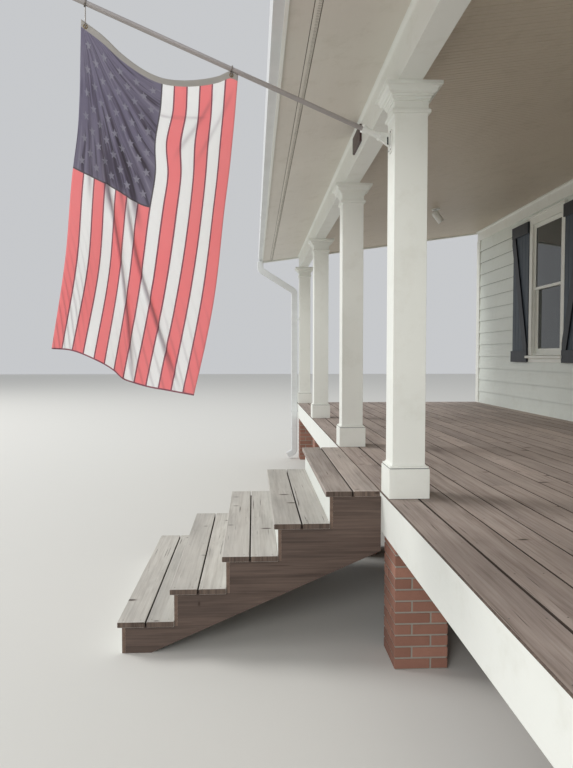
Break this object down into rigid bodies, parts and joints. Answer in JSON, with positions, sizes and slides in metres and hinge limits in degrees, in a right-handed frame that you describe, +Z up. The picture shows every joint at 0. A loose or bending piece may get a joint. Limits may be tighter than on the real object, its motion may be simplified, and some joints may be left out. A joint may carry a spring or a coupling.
{
  "type": "front porch",
  "caption": "Raised front porch on a clapboard house wall, with boxed square columns, sloping boarded ceiling, wide plank steps, gutter with downspouts, and a flag on a slanting pole.",
  "frame": {"origin": "on the ground under the middle of the whole object, flag included", "axes": "+X along the porch, to the right of someone who faces the house; +Y into the house; +Z up; the steps and the flag are on the -Y side"},
  "size_m": [13.424, 4.9918, 4.283],
  "materials": {
    "brick": "rough",
    "raw_wood": "rough",
    "deck_wood": "weathered",
    "white_paint": "satin paint",
    "stringer_wood": "rough",
    "ceiling_paint": "satin paint",
    "vent_metal": "satin",
    "roof_metal": "satin",
    "gutter_metal": "gloss",
    "siding_paint": "satin paint",
    "concrete": "rough",
    "glass": "clear",
    "shutter_paint": "satin paint",
    "fixture_metal": "satin",
    "plaque_metal": "gloss",
    "pole_metal": "satin",
    "flag_cloth": "matt"
  },
  "bodies": {
    "root": {"foundation_piers": "brick", "deck_frame": "raw_wood", "porch_floor": "deck_wood", "skirt_boards": "white_paint", "landing": "deck_wood", "tread_1": "deck_wood", "tread_2": "deck_wood", "tread_3": "deck_wood", "tread_4": "deck_wood", "stair_risers": "white_paint", "stair_stringers": "stringer_wood", "column_1": "white_paint", "column_2": "white_paint", "column_3": "white_paint", "column_4": "white_paint", "column_5": "white_paint", "column_6": "white_paint", "front_beam": "white_paint", "porch_ceiling": "ceiling_paint", "eave_soffit": "ceiling_paint", "soffit_vent": "vent_metal", "fascia": "white_paint", "rake_boards": "white_paint", "roof_frame": "raw_wood", "roof": "roof_metal", "gutter": "gutter_metal", "downspout_left": "gutter_metal", "downspout_right": "gutter_metal", "house_wall": "siding_paint", "foundation_wall": "concrete", "corner_boards": "white_paint", "wall_frieze": "white_paint", "window_left": "white_paint", "window_right": "white_paint", "window_glass": "glass", "shutters_left": "shutter_paint", "shutters_right": "shutter_paint", "front_door": "shutter_paint", "door_frame": "white_paint", "door_glass": "glass", "spotlight": "fixture_metal", "beam_plaque": "plaque_metal", "flag_bracket": "fixture_metal", "flag_pole": "pole_metal", "flag": "flag_cloth"}
  },
  "joints": []
}
